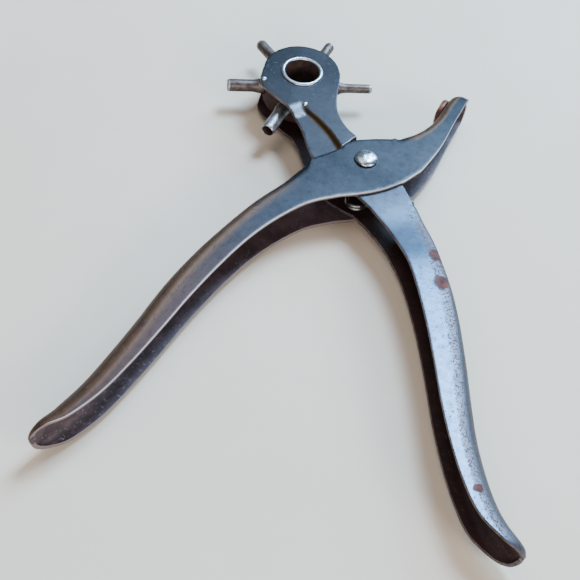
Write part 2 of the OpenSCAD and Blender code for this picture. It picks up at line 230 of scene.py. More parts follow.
def lever_steel(name, base, blotch, far_reflection, reach, patina_and_reflection, pitting, rust_spots, roughness):
    """Old pressed steel: cloudy tone, fine scratches, dark pits, and a brown tone on the folds that
    is partly brown oxide and partly a painted reflection.

    far_reflection is a painted reflection: the tone that the surface drifts to between the two
    distances of reach, in mm."""
    g = Graph(name)
    cloud = g.noise(0.045, 5, 0.62)
    mottle = g.noise(0.4, 7, 0.7, shift=40)
    grain = g.noise(2.2, 4, 0.7, shift=15)
    brushed = g.noise(1.4, 3, 0.6, stretch=(-70, 0.06), shift=5)
    speck = g.ramp(g.noise(1.1, 3, 0.55, shift=70), 0.69 - pitting, 0.76 - pitting)
    region = g.ramp(g.noise(0.06, 3, 0.6, shift=90), 0.42, 0.62)
    pits = g.math("MULTIPLY", speck, region)
    colour = g.mix(g.ramp(cloud, 0.35, 0.66), base, blotch)
    # Painted reflection: the tone drifts toward far_reflection along the handle.
    drift = g.ramp(g.distance(), reach[0] * MM, reach[1] * MM)
    colour = g.mix(drift, colour, far_reflection)
    dim = g.node("HueSaturation")
    dim.inputs["Value"].default_value = 0.5
    g.link(colour, dim.inputs["Color"])
    dimmed = g.math("MULTIPLY", g.ramp(mottle, 0.42, 0.7), 0.55)
    colour = g.mix(dimmed, colour, dim.outputs["Color"])
    patches = g.ramp(g.noise(0.12, 5, 0.6, shift=33), 0.15, 0.52)
    fold = g.math("MULTIPLY", g.attribute("fold"), patches)
    band = g.ramp(g.attribute("fold"), 0.01, 0.25)
    etched = g.ramp(g.noise(1.5, 4, 0.7, shift=61), 0.6 - pitting, 0.68 - pitting)
    etched = g.math("MULTIPLY", etched, band)
    pits = g.math("MAXIMUM", pits, g.math("MULTIPLY", etched, 0.7))
    # The fold band takes a tone that is partly brown oxide and partly a painted reflection on the
    # rounded fold.
    colour = g.mix(g.math("MULTIPLY", fold, 0.85), colour, patina_and_reflection)
    # Dark brown where the turret lever is pressed in: rust with painted shade on the step wall, and
    # painted shade in the band by the joggle.
    wall = g.attribute("brown_share")
    colour = g.mix(wall, colour, (0.1, 0.062, 0.032))
    colour = g.mix(g.math("MULTIPLY", pits, 0.85), colour, (0.05, 0.035, 0.035))
    rust_mask = None
    for centre, radius in rust_spots:
        spot = g.spot(centre, radius, g.noise(0.55, 6, 0.75, shift=centre[0]))
        rust_mask = spot if rust_mask is None else g.math("MAXIMUM", rust_mask, spot)
    rough = g.math("ADD", g.math("MULTIPLY", mottle, 0.16), roughness - 0.08)
    rough = g.math("ADD", rough, g.math("MULTIPLY", g.math("ADD", pits, fold), 0.12))
    height = g.math("ADD", g.math("MULTIPLY", grain, 0.25), g.math("MULTIPLY", brushed, 0.25))
    height = g.math("SUBTRACT", height, g.math("MULTIPLY", pits, 0.9))
    height = g.math("ADD", height, g.math("MULTIPLY", mottle, 0.5))
    metal = g.math("SUBTRACT", 1.0, g.math("MULTIPLY", pits, 0.5))
    if rust_mask is not None:
        rust = g.mix(g.ramp(mottle, 0.4, 0.65), (0.11, 0.026, 0.018), (0.04, 0.012, 0.01))
        colour = g.mix(rust_mask, colour, rust)
        rough = g.math("ADD", rough, g.math("MULTIPLY", rust_mask, 0.35))
        metal = g.math("MULTIPLY", metal, g.math("SUBTRACT", 1.0, rust_mask))
        height = g.math("ADD", height, g.math("MULTIPLY", rust_mask, 0.6))
    return g.finish(colour, rough, height, 0.06, metal)


def dark_inside(name, tint, pale, reach):
    """The unrubbed inner side of the pressings: purple-brown oxide with pale speckles."""
    g = Graph(name)
    cloud = g.noise(0.12, 6, 0.7)
    speckle = g.ramp(g.noise(0.9, 5, 0.75, shift=21), 0.56, 0.7)
    colour = g.mix(g.ramp(cloud, 0.35, 0.65), tint, tuple(c * 0.45 for c in tint))
    drift = g.ramp(g.distance(), reach[0] * MM, reach[1] * MM)
    share = g.math("MULTIPLY", speckle, g.math("ADD", g.math("MULTIPLY", drift, 0.55), 0.25))
    colour = g.mix(share, colour, pale)
    rough = g.math("ADD", g.math("MULTIPLY", cloud, 0.25), 0.42)
    height = g.math("ADD", cloud, g.math("MULTIPLY", speckle, 0.6))
    return g.finish(colour, rough, height, 0.1, 0.3)


def sheared_edge(name, rubbed, dull):
    """Cut face of the sheet: rubbed steel with a painted highlight on the upper plate's outer half,
    dull elsewhere.

    The painted highlight fades toward the grip's end."""
    g = Graph(name)
    cloud = g.noise(0.5, 5, 0.65)
    axes = g.node("SeparateXYZ")
    g.link(g.place, axes.inputs[0])
    ragged = g.math("MULTIPLY", g.math("SUBTRACT", cloud, 0.5), 0.5 * MM)
    level = g.math("ADD", axes.outputs["Z"], ragged)
    # Painted highlight: the upper half of the upper plate's cut face is made bright, the rest keeps
    # the dull colour.
    bright = g.ramp(level, (UNDER + 0.5) * MM, (UNDER + 0.85) * MM)
    # The painted highlight fades toward the grip's end.
    away = g.ramp(g.distance(), 60 * MM, 160 * MM)
    worn = g.math("SUBTRACT", 1.0, g.math("MULTIPLY", away, 0.55))
    bright = g.math("MULTIPLY", bright, worn)
    nicks = g.ramp(g.noise(0.9, 4, 0.7, shift=52), 0.55, 0.7)
    bright = g.math("MULTIPLY", bright, g.math("SUBTRACT", 1.0, g.math("MULTIPLY", nicks, 0.5)))
    colour = g.mix(bright, dull, rubbed)
    rough = g.math("ADD", g.math("MULTIPLY", cloud, 0.3), 0.3)
    return g.finish(colour, rough, cloud, 0.04, 0.4)


def bright_steel(name, base, roughness, brown_share):
    """Handled steel: bright, lightly scratched, brown dirt in random patches."""
    g = Graph(name)
    cloud = g.noise(0.5, 5, 0.65)
    fine = g.noise(3.0, 4, 0.7, shift=11)
    dirt = g.ramp(g.noise(0.8, 6, 0.7, shift=52), 0.52, 0.7)
    colour = g.mix(g.ramp(cloud, 0.35, 0.65), base, tuple(c * 0.75 for c in base))
    colour = g.mix(g.math("MULTIPLY", dirt, brown_share), colour, (0.1, 0.06, 0.045))
    rough = g.math("ADD", g.math("MULTIPLY", fine, 0.2), roughness - 0.1)
    rough = g.math("ADD", rough, g.math("MULTIPLY", dirt, brown_share * 0.3))
    return g.finish(colour, rough, g.math("ADD", fine, cloud), 0.03)


def rusty(name, base, deep, flake, metallic, roughness, depth=0.12):
    """Rusted or browned iron with flaking and darker hollows."""
    g = Graph(name)
    cloud = g.noise(0.35, 7, 0.75)
    grain = g.noise(1.8, 6, 0.8, shift=8)
    colour = g.mix(g.ramp(cloud, 0.36, 0.64), base, deep)
    colour = g.mix(g.math("MULTIPLY", g.ramp(grain, 0.55, 0.72), 0.7), colour, flake)
    rough = g.math("ADD", g.math("MULTIPLY", grain, 0.3), roughness - 0.15)
    height = g.math("ADD", g.math("MULTIPLY", cloud, 0.8), grain)
    return g.finish(colour, rough, height, depth, metallic)


# ------------------------------------------------------------------ mesh building
def mesh_object(name, verts_mm, faces, materials):
    mesh = bpy.data.meshes.new(name)
    mesh.from_pydata([tuple(c * MM for c in v) for v in verts_mm], [], faces)
    mesh.validate()
    mesh.update()
    obj = bpy.data.objects.new(name, mesh)
    bpy.context.scene.collection.objects.link(obj)
    for material in materials:
        mesh.materials.append(material)
    mesh.polygons.foreach_set("use_smooth", [True] * len(mesh.polygons))
    return obj


def apply_modifiers(obj):
    """Bakes the object's modifiers into its mesh."""
    bpy.context.view_layer.update()
    graph = bpy.context.evaluated_depsgraph_get()
    mesh = bpy.data.meshes.new_from_object(
        obj.evaluated_get(graph), preserve_all_data_layers=True, depsgraph=graph
    )
    obj.modifiers.clear()
    obj.data = mesh
    return obj


def face_outwards(obj):
    bm = bmesh.new()
    bm.from_mesh(obj.data)
    bmesh.ops.recalc_face_normals(bm, faces=bm.faces)
    bm.to_mesh(obj.data)
    bm.free()


def sharpen(obj, degrees=35):
    """Smooth shading with creases where faces meet at more than the angle."""
    bm = bmesh.new()
    bm.from_mesh(obj.data)
    limit = math.radians(degrees)
    for edge in bm.edges:
        edge.smooth = not (len(edge.link_faces) == 2 and edge.calc_face_angle(0) > limit)
    bm.to_mesh(obj.data)
    bm.free()


def lathe(
    name,
    profile,
    materials,
    axis=Matrix.Identity(4),
    segments=96,
    zones=None,
    ripple=0.0,
    shape=None,
):
    """Turns a closed (radius, height) profile round an axis.

    zones gives each edge of the profile a material, shape alters each point before it is placed."""
    verts, faces, marks = [], [], []
    n = len(profile)
    for s in range(segments):
        a = 2 * math.pi * s / segments
        for j, (r, h) in enumerate(profile):
            if ripple:
                spot = Vector((math.cos(a) * 2 + j * 0.3, math.sin(a) * 2, h * 0.7))
                r += ripple * noise.noise(spot)
            if shape:
                r, h = shape(r, h, a)
            verts.append(axis @ Vector((r * math.cos(a), r * math.sin(a), h)))
    for s in range(segments):
        t = (s + 1) % segments
        for j in range(n):
            k = (j + 1) % n
            faces.append((s * n + j, t * n + j, t * n + k, s * n + k))
            marks.append(zones[j] if zones else 0)
    obj = mesh_object(name, verts, faces, materials)
    obj.data.polygons.foreach_set("material_index", marks)
    bm = bmesh.new()
    bm.from_mesh(obj.data)
    bmesh.ops.remove_doubles(bm, verts=bm.verts, dist=1e-6)
    bmesh.ops.dissolve_degenerate(bm, edges=bm.edges, dist=1e-7)
    bm.to_mesh(obj.data)
    bm.free()
    face_outwards(obj)
    sharpen(obj)
    return obj


def rounded(profile, radius, steps=4):
    """Rounds every corner of a closed (radius, height) profile by up to the given radius."""
    out = []
    n = len(profile)
    for i in range(n):
        a, b, c = (Vector(profile[(i + k) % n]) for k in (-1, 0, 1))
        if b.x < 1e-6:
            out.append(tuple(b))
            continue
        cut = min(radius, 0.45 * (a - b).length, 0.45 * (c - b).length)
        p, q = b + (a - b).normalized() * cut, b + (c - b).normalized() * cut
        for k in range(steps + 1):
            t = k / steps
            out.append(tuple(p * (1 - t) ** 2 + b * 2 * t * (1 - t) + q * t**2))
    return out


def wire(name, route, radius, material, sides=16):
    """A round wire along a route of 3-D points in mm."""
    route = [Vector(p) for p in route]
    verts, faces = [], []
    up = Vector((0, 0, 1))
    for i, p in enumerate(route):
        along = (route[min(i + 1, len(route) - 1)] - route[max(i - 1, 0)]).normalized()
        side = along.cross(up).normalized()
        rise = side.cross(along)
        for k in range(sides):
            a = 2 * math.pi * k / sides
            verts.append(p + radius * (side * math.cos(a) + rise * math.sin(a)))
    for i in range(len(route) - 1):
        for k in range(sides):
            m = (k + 1) % sides
            here, ahead = i * sides, (i + 1) * sides
            faces.append((here + k, here + m, ahead + m, ahead + k))
    faces.append(tuple(range(sides))[::-1])
    faces.append(tuple((len(route) - 1) * sides + k for k in range(sides)))
    obj = mesh_object(name, verts, faces, [material])
    face_outwards(obj)
    sharpen(obj)
    return obj


# ------------------------------------------------------------------ pressed levers
ARC_STEPS = 6
WEB_STEPS = 10
FLAT_STEPS = 14


def fold_section(free, fold, half, r):
    """Outer skin of one folded section, from the upper free edge round to the lower one."""
    free, fold = np.array(free), np.array(fold)
    width = float(np.linalg.norm(fold - free))
    d = (fold - free) / width
    r = min(r, width * 0.9, half * 0.98)
    line = [(t * (width - r), half) for t in np.linspace(0, 1, FLAT_STEPS + 1)]
    for k in range(1, ARC_STEPS + 1):
        a = math.radians(90 - 90 * k / ARC_STEPS)
        line.append((width - r + r * math.cos(a), half - r + r * math.sin(a)))
    for k in range(1, WEB_STEPS):
        line.append((width, (half - r) * (1 - 2 * k / WEB_STEPS)))
    line += [(u, -z) for u, z in line[FLAT_STEPS + ARC_STEPS :: -1]]
    return [(free[0] + d[0] * u, free[1] + d[1] * u, z) for u, z in line]


def channel_skin(stations, steps):
    """Rows of the outer skin along a list of stations."""
    rows = spline(stations, steps)
    return np.array([fold_section(s[0:2], s[2:4], s[4], s[5]) for s in rows])


def inside(loop, points):
    """Which of the points lie inside the closed loop."""
    loop, points = np.asarray(loop), np.asarray(points)
    x, y = points[:, 0], points[:, 1]
    result = np.zeros(len(points), bool)
    for (x0, y0), (x1, y1) in zip(loop, np.roll(loop, -1, axis=0)):
        crosses = (y0 > y) != (y1 > y)
        with np.errstate(divide="ignore", invalid="ignore"):
            at = (x1 - x0) * (y - y0) / (y1 - y0) + x0
        result ^= crosses & (x < at)
    return result


def edge_distance(loop, points):
    loop, points = np.asarray(loop), np.asarray(points)
    best = np.full(len(points), 1e9)
    for a, b in zip(loop, np.roll(loop, -1, axis=0)):
        ab = b - a
        t = np.clip(((points - a) @ ab) / max(ab @ ab, 1e-12), 0, 1)
        best = np.minimum(best, np.linalg.norm(points - a - t[:, None] * ab, axis=1))
    return best


def plate_mesh(loop, holes, spacing, creases=()):
    """Even triangles over a flat outline with holes, with edges along the closed creases."""
    loops = [np.asarray(one) for one in (loop, *holes, *creases)]
    bounds = loops[1 : 1 + len(holes)]
    low, high = loops[0].min(0), loops[0].max(0)
    grid = []
    for j, y in enumerate(np.arange(low[1], high[1], spacing * 0.87)):
        for x in np.arange(low[0] + (j % 2) * spacing / 2, high[0], spacing):
            grid.append((x, y))
    grid = np.array(grid)
    keep = inside(loops[0], grid)
    for hole in bounds:
        keep &= ~inside(hole, grid)
    for one in loops:
        keep &= edge_distance(one, grid) > spacing * 0.5
    points = np.vstack(loops + [grid[keep]])
    edges, base = [], 0
    for one in loops:
        edges += [(base + i, base + (i + 1) % len(one)) for i in range(len(one))]
        base += len(one)
    co, _, faces, *_ = geometry.delaunay_2d_cdt([Vector(p) for p in points], edges, [], 1, 1e-5)
    co = np.array([tuple(c) for c in co])
    centres = np.array([co[list(f)].mean(0) for f in faces])
    keep = inside(loops[0], centres)
    for hole in bounds:
        keep &= ~inside(hole, centres)
    return co, [f for f, k in zip(faces, keep) if k]


def lever_object(name, channels, plates, level, materials):
    """Joins channel skins and flat plates into one sheet of even thickness with worn edges.

    Each channel comes with the share of patina along and across it. level(points) gives
    the height of the upper plate; the lower plate mirrors it."""
    verts, faces, folds, brown_share = [], [], [], []
    for rows, mark in channels:
        base, (m, n, _) = len(verts), rows.shape
        verts += [tuple(p) for row in rows for p in row]
        across = [min(1.0, min(j, n - 1 - j) / FLAT_STEPS) for j in range(n)]
        folds += [mark(i / (m - 1), u) for i in range(m) for u in across]
        brown_share += [0.0] * (m * n)
        corners = [base + i * n + j for i in range(m - 1) for j in range(n - 1)]
        faces += [(c, c + 1, c + n + 1, c + n) for c in corners]
    for co, triangles in plates:
        # marks is the plate's share of dark brown, which carries painted shade by the turret
        # lever's step wall and joggle.
        heights, marks = level(co)
        for side in (1, -1):
            base = len(verts)
            verts += [(x, y, side * z) for (x, y), z in zip(co, heights)]
            folds += [0.0] * len(co)
            brown_share += list(marks)
            faces += [tuple(base + k for k in f) for f in triangles]
    verts = [(x + PIVOT[0], y + PIVOT[1], z) for x, y, z in verts]
    obj = mesh_object(name, verts, faces, materials)
    for key, values in (("fold", folds), ("brown_share", brown_share)):
        mark = obj.data.attributes.new(key, "FLOAT", "POINT")
        mark.data.foreach_set("value", np.array(values, np.float32))
    bm = bmesh.new()
    bm.from_mesh(obj.data)
    bmesh.ops.remove_doubles(bm, verts=bm.verts, dist=0.03 * MM)
    bmesh.ops.recalc_face_normals(bm, faces=bm.faces)
    highest = max(bm.faces, key=lambda f: f.calc_center_median().z)
    if highest.normal.z < 0:
        bmesh.ops.reverse_faces(bm, faces=bm.faces)
    bm.to_mesh(obj.data)
    bm.free()
    shell = obj.modifiers.new("sheet", "SOLIDIFY")
    shell.thickness = SHEET * MM
    shell.offset = -1
    shell.use_even_offset = True
    shell.use_rim = True
    shell.material_offset = 1
    shell.material_offset_rim = 2
    round_off = obj.modifiers.new("worn edges", "BEVEL")
    round_off.width = 0.2 * MM
    round_off.segments = 2
    round_off.limit_method = "ANGLE"
    round_off.angle_limit = math.radians(50)
    apply_modifiers(obj)
    obj.data.polygons.foreach_set("use_smooth", [True] * len(obj.data.polygons))
    sharpen(obj, 50)
    return obj


def transition_skin(start, end, steps):
    """Half sections from a flat plate to a full quarter fold, for the upper side."""
    rows = []
    for i in range(steps + 1):
        t = i / steps
        s = np.array(start, float) * (1 - t) + np.array(end, float) * t
        free, edge = s[0:2], s[2:4]
        width = float(np.linalg.norm(edge - free))
        d = (edge - free) / width
        phi = math.radians(90) * float(smooth(t, 0, 1)) if i < steps else math.radians(90)
        flat = width - s[5] * math.sin(phi)
        line = [(u * flat, s[4]) for u in np.linspace(0, 1, FLAT_STEPS + 1)]
        for k in range(1, ARC_STEPS + 1):
            a = phi * k / ARC_STEPS
            line.append((flat + s[5] * math.sin(a), s[4] - s[5] * (1 - math.cos(a))))
        rows.append([(free[0] + d[0] * u, free[1] + d[1] * u, z) for u, z in line])
    return np.array(rows)


def both_sides(rows):
    return [rows, rows * np.array((1, 1, -1))]


def patina_and_reflection_mark(reach_start, reach_end, fade):
    """Share of patina on a channel: a band by the fold that widens along the handle."""

    def mark(along, across):
        reach = reach_start + (reach_end - reach_start) * along
        return float(smooth(across, 1 - reach, 1)) * float(smooth(along, 0, fade))

    return mark


def bend(share):
    """Bend radius of the fold: FOLD_R by the pivot, GRIP_R at the grip's end."""
    return FOLD_R + (GRIP_R - FOLD_R) * share


def anvil_lever_arms():
    """Handle and jaw stations round the pivot: free edge, folded edge, half height, bend radius."""
    handle = [
        (-5, -19, -21.2, -11.8, TOP, bend(0)),
        (-14, -25.2, -25, -19.3, TOP, bend(0)),
        (-21.9, -34.7, -31.9, -30.3, TOP, bend(0.1)),
        (-28.9, -46.4, -38.3, -43.3, TOP, bend(0.2)),
        (-34.9, -60.3, -44.4, -57.3, TOP, bend(0.4)),
        (-40.3, -75.5, -49.7, -72.7, TOP, bend(0.6)),
        (-45, -90.9, -53.7, -88.5, TOP, bend(0.8)),
        (-49.8, -105.5, -57.7, -102.7, TOP, bend(1)),
        (-54.5, -117.4, -61.4, -114.7, TOP, bend(1)),
        (-60.3, -127.2, -65.5, -124.3, TOP, bend(1)),
        (-65, -131.6, -68.1, -129.9, TOP * 0.93, bend(1)),
        (-67.4, -133.7, -69.2, -132.5, TOP * 0.74, bend(1)),
        (-68.7, -134.7, -69.9, -133.8, TOP * 0.48, bend(1)),
        (-69.3, -135.1, -70.3, -134.3, TOP * 0.16, bend(1)),
    ]
    jaw = [
        (19.5, 2, 9.9, 15.9, TOP, FOLD_R),
        (22, 9, 13.9, 19.5, TOP, FOLD_R),
        (24.1, 16, 17, 23.7, TOP * 0.98, FOLD_R),
        (25.4, 22.5, 19.2, 28.1, TOP * 0.95, FOLD_R),
        (26.7, 30, 20.7, 32.7, TOP * 0.92, FOLD_R),
        (28.1, 37, 21.9, 38.5, TOP * 0.89, FOLD_R),
        (29.2, 42.4, 23.5, 43.8, TOP * 0.85, FOLD_R),
        (29.7, 44.6, 25.1, 46.1, TOP * 0.76, FOLD_R),
        (30, 46.4, 26.6, 47.6, TOP * 0.56, FOLD_R),
        (30.2, 48.1, 28, 48.9, TOP * 0.32, FOLD_R),
        (30.1, 49, 28.8, 49.5, TOP * 0.12, FOLD_R),
    ]
    return handle, jaw


def flat_level(points):
    return np.full(len(points), TOP), np.zeros(len(points))


def anvil_lever(materials):
    handle, jaw = anvil_lever_arms()
    handle_start = (0, -16.6, -17.3, -5.2, TOP, FOLD_R)
    jaw_start = (15, -4.8, 6.6, 12.8, TOP, FOLD_R)
    to_handle = transition_skin(handle_start, handle[0], 8)
    to_jaw = transition_skin(jaw_start, jaw[0], 8)
    free_edge = spline([(0, -16.6), (5, -13.7), (10, -9.9), (15, -4.8)], 6)
    jaw_side = spline([(6.6, 12.8), (5, 12.3), (1, 10.9)], 4)
    corner = [polar(PLATE_R, a) for a in np.arange(108, 167, 5)]
    handle_side = spline([(-12.3, -0.6), (-17.3, -5.2)], 6)
    row_handle = to_handle[0, : FLAT_STEPS + 1, :2]
    row_jaw = to_jaw[0, : FLAT_STEPS + 1, :2]
    loop = np.vstack(
        (free_edge[:-1], row_jaw[:-1], jaw_side, corner, handle_side[:-1], row_handle[:0:-1])
    )
    parts = [
        (channel_skin(handle, 6), patina_and_reflection_mark(0.35, 0.75, 0.2)),
        (channel_skin(jaw, 6), patina_and_reflection_mark(0.15, 0.15, 0.1)),
    ]
    for rows in both_sides(to_handle) + both_sides(to_jaw):
        parts.append((rows, lambda along, across: 0.0))
    plate = plate_mesh(loop, [], 0.9)
    return lever_object("anvil_lever_skin", parts, [plate], flat_level, materials)


def turret_lever_handle():
    def lift(share):
        return INNER_TOP + (TOP - INNER_TOP) * share

    # Stations as in anvil_lever_arms
    return [
        (5.2, -19, 21.4, -13.8, INNER_TOP, bend(0)),
        (12.7, -26, 25.1, -19.8, INNER_TOP, bend(0)),
        (17.9, -32.3, 29.4, -26.8, lift(0.4), bend(0)),
        (22.7, -39.5, 33.3, -34.6, lift(0.9), bend(0.1)),
        (27.7, -50, 38.5, -45.5, TOP, bend(0.2)),
        (32.4, -61.6, 43, -57.3, TOP, bend(0.4)),
        (37.4, -75.8, 47.7, -72.6, TOP, bend(0.6)),
        (41.9, -89.4, 51.6, -86.8, TOP, bend(0.8)),
        (46.9, -102.2, 55.6, -99.6, TOP, bend(1)),
        (52.6, -114.1, 60.5, -111.3, TOP, bend(1)),
        (58.6, -123, 65.1, -119.5, TOP, bend(1)),
        (66.4, -128.4, 69.7, -124.5, TOP * 0.94, bend(1)),
        (70.6, -129.9, 72, -126.7, TOP * 0.78, bend(1)),
        (72.6, -130.1, 73.6, -127.7, TOP * 0.5, bend(1)),
        (73.6, -130, 74.3, -128.6, TOP * 0.18, bend(1)),
    ]


STEP_LINE = spline(
    [(-27.4, 20.4), (-25, 17.6), (-20.6, 14.6), (-15, 9.8), (-10.6, 4.8), (-6, -1)], 8
)


def joggle_reach(angle):
    """Where the neck drops under the other lever, just clear of that plate's edge as it swings."""
    return 9.68 + 1.4 * (1 - smooth(angle, 116, 142))


JOGGLE_WIDTH = 0.18


def head_level(points):
    """Height of the turret lever's upper plate, and its share of dark brown: rust with painted
    shade on the recess's step wall, and painted shade in a band by the joggle.

    The plate has its full height at the head and is pressed in at the neck and pivot."""
    p = np.asarray(points, float)
    near = np.full(len(p), 1e9)
    side = np.zeros(len(p))
    for a, b in zip(STEP_LINE[:-1], STEP_LINE[1:]):
        ab = b - a
        t = np.clip(((p - a) @ ab) / (ab @ ab), 0, 1)
        off = p - a - t[:, None] * ab
        distance = np.linalg.norm(off, axis=1)
        left = ab[0] * off[:, 1] - ab[1] * off[:, 0]
        side = np.where(distance < near, -np.sign(left), side)
        near = np.minimum(near, distance)
    start = STEP_LINE[0]
    down = (STEP_LINE[-1] - start) / np.linalg.norm(STEP_LINE[-1] - start)
    along = (p - start) @ down
    recess = smooth(side * near, -0.2, 1.2) * smooth(along, -1, 5.5)
    from_pivot = np.linalg.norm(p, axis=1)
    beyond = from_pivot - joggle_reach(np.degrees(np.arctan2(p[:, 1], p[:, 0])))
    joggle = 1 - smooth(beyond, 0, JOGGLE_WIDTH)
    root = smooth(p @ polar(1, -60), -8, -5)
    # Rust with painted shade on the step wall, which faces away from the light; then a band of
    # painted shade by the joggle that hides its reflection.
    wall = smooth(side * near, -0.5, 0.1) * smooth(-side * near, -1.7, -1.0) * smooth(along, 2, 9)
    wall = np.maximum(wall, smooth(from_pivot, 8.8, 9.2) * (1 - smooth(beyond, 0, 0.1)))
    return TOP - (TOP - INNER_TOP) * np.maximum.reduce((recess, joggle, root)), wall


def turret_lever(materials):
    handle = turret_lever_handle()
    start = (0.5, -15.7, 18.3, -11.5, INNER_TOP, FOLD_R)
    to_handle = transition_skin(start, handle[0], 8)
    row = to_handle[0, : FLAT_STEPS + 1, :2]
    back_edge = [(18.3, -11.5), (15, -7), (9.4, 1.6), (3, 7.6), (-3, 8.6)]
    back_edge += [(-6.2, 10.4), (-9.2, 12.6)]
    right_edge = [(-12, 15.6), (-14.4, 19.5), (-15.8, 24), (-16.6, 28.5)]
    right_edge += [(-17.1, 33), (-17.8, 38.5)]
    right = spline(back_edge + right_edge + [tuple(HEAD + polar(HEAD_R, 31))], 5)
    crown = np.array([HEAD + polar(HEAD_R, a) for a in np.arange(35, 181, 4)])
    ear = [(-45.3, 30), (-44.8, 26.5), (-42.6, 23.4), (-39.5, 21.2), (-35, 18.6)]
    ear += [(-30.5, 15.4), (-27, 11.5)]
    left_edge = [(-24, 7), (-21.5, 2.2), (-17, -4.8), (-10, -11.6), (-4, -14.4), (0.5, -15.7)]
    left = spline([tuple(HEAD + polar(HEAD_R, 184))] + ear + left_edge, 5)
    loop = np.vstack((row[:-1], right, crown, left[:-1]))
    eye = np.array([HEAD + polar(6.7, a) for a in np.arange(0, 360, 6)])
    turn = np.arange(-180, 180, 4)
    creases = [
        np.array([polar(joggle_reach(a) + out, a) for a in turn]) for out in (0, JOGGLE_WIDTH)
    ]
    plate = plate_mesh(loop, [eye], 0.6, creases)
    parts = [(channel_skin(handle, 6), patina_and_reflection_mark(0.3, 0.3, 0.1))]
    for rows in both_sides(to_handle):
        parts.append((rows, lambda along, across: 0.0))
    return lever_object("turret_lever_skin", parts, [plate], head_level, materials)


# ------------------------------------------------------------------ rivets, turret, springs
def at_pivot():
    return Matrix.Translation((*PIVOT, 0))


def pivot_rivet(material):
    """Both domed heads and the shank, with the hammered facets of a set rivet."""
    seat = TOP + 0.05
    top = [(0, seat + 1.9)]
    for k in range(1, 15):
        a = math.radians(90 * k / 14)
        top.append((RIVET_HEAD_R * math.sin(a) ** 0.92, seat + 0.35 + 1.55 * math.cos(a)))
    top += [(RIVET_HEAD_R - 0.12, seat + 0.08), (RIVET_HEAD_R - 0.35, seat), (SHANK_R, seat)]
    profile = top + [(r, -z) for r, z in top[::-1]]

    def hammered(r, h, a):
        lift = 0.16 * noise.noise(Vector((r * 0.55 * math.cos(a), r * 0.55 * math.sin(a), h)))
        return r, h + math.copysign(lift, h) * smooth(abs(h), seat, seat + 0.8)

    return lathe("pivot_rivet_skin", profile, [material], at_pivot(), 72, shape=hammered)


def pivot_spacer(material):
    half = INNER_UNDER - 0.05
    profile = rounded([(2.95, -half), (4.05, -half), (4.05, half), (2.95, half)], 0.2)
    return lathe("pivot_spacer_skin", profile, [material], at_pivot(), 48)


def turret_axle(bright, bore):
    """Hollow rivet: its thin wall rolls over into a lip on each head plate."""
    outer = EYE_R + EYELET_WALL
    crest, centre = TOP + 0.08, EYE_R + LIP_R
    top = []
    for k in range(13):
        a = math.radians(180 - 225 * k / 12)
        top.append((centre + LIP_R * math.cos(a), crest + LIP_R * math.sin(a)))
    top += [(centre + LIP_R * 0.85, TOP + 0.02), (outer, TOP)]
    profile = [(EYE_R, 0)] + top + [(outer, 0)]
    profile += [(r, -z) for r, z in top[::-1]]
    zones = [1, 1] + [0] * (len(profile) - 2)
    zones[-1] = zones[-2] = 1
    materials = [bright, bore]
    return lathe("turret_axle_skin", profile, materials, segments=128, zones=zones, ripple=0.03)


def turret_wheel(material):
    """Thick rusted drum with a chamfered rim and detent hollows between the tubes."""
    half = UNDER - 0.2
    profile = rounded(
        [(7.15, -half), (WHEEL_R, -half), (WHEEL_R, half), (7.15, half)],
        0.9,
        5,
    )
    extra = []
    for a, b in zip(profile, profile[1:] + profile[:1]):
        parts = max(1, int(math.dist(a, b) / 0.9))
        start, span = np.array(a), np.array(b) - np.array(a)
        extra += [tuple(start + span * k / parts) for k in range(parts)]

    def detents(r, h, a):
        if r < WHEEL_R - 2:
            return r, h
        turn = (math.degrees(a) - PUNCH_ANGLE - 30 + 180) % 60 - 30
        off = abs(math.radians(turn) * r)
        dent = 0.8 * float(1 - smooth(off, 0.2, 1.1)) * float(smooth(h, half - 2.4, half - 1.2))
        spot = Vector((math.cos(a) * 5, math.sin(a) * 5, h * 0.5))
        return r - dent + 0.08 * noise.noise(spot), h

    return lathe("turret_wheel_skin", extra, [material], segments=180, shape=detents)


def pointing(degrees):
    """Turns a lathe's axis from Z to a direction in the plane of the plates."""
    flat = Matrix.Rotation(math.radians(90), 4, "Y")
    return Matrix.Rotation(math.radians(degrees), 4, "Z") @ flat


def punch_tube(index, outside, bore_dark, tip_bright):
    """Cone-footed tube with a bore and a worn cutting edge, standing out of the wheel."""
    bore = TUBE_BORES[index] / 2
    tube = bore + TUBE_WALL
    start, edge = WHEEL_R - ROOT_DEPTH, 0.9
    profile = [
        (2.5, start),
        (2.5, WHEEL_R - 0.3),
        (2.95, WHEEL_R + 0.05),
        (2.75, WHEEL_R + 0.6),
        (tube + 0.45, WHEEL_R + 1.7),
        (tube + 0.12, WHEEL_R + 2.9),
        (tube, WHEEL_R + 4.2),
        (tube, TUBE_REACH - edge - 2.4),
        (tube, TUBE_REACH - edge),
        (tube - 0.14, TUBE_REACH - 0.32),
        (bore + 0.12, TUBE_REACH),
        (bore, TUBE_REACH - 0.25),
        (bore, TUBE_REACH - 4),
        (bore * 0.98, start),
    ]
    zones = [0, 0, 0, 0, 0, 0, 0, 0, 2, 2, 2, 1, 1, 0]
    turn = pointing(PUNCH_ANGLE + 60 * index)

    def worn(r, h, a):
        if r < tube * 0.9:
            return r, h
        spot = Vector((math.cos(a) * 1.5 + index * 7, math.sin(a) * 1.5, h * 0.6))
        return r + 0.05 * noise.noise(spot), h

    name = f"punch_tube_{index + 1}_skin"
    return lathe(name, profile, [outside, bore_dark, tip_bright], turn, 64, zones, shape=worn)


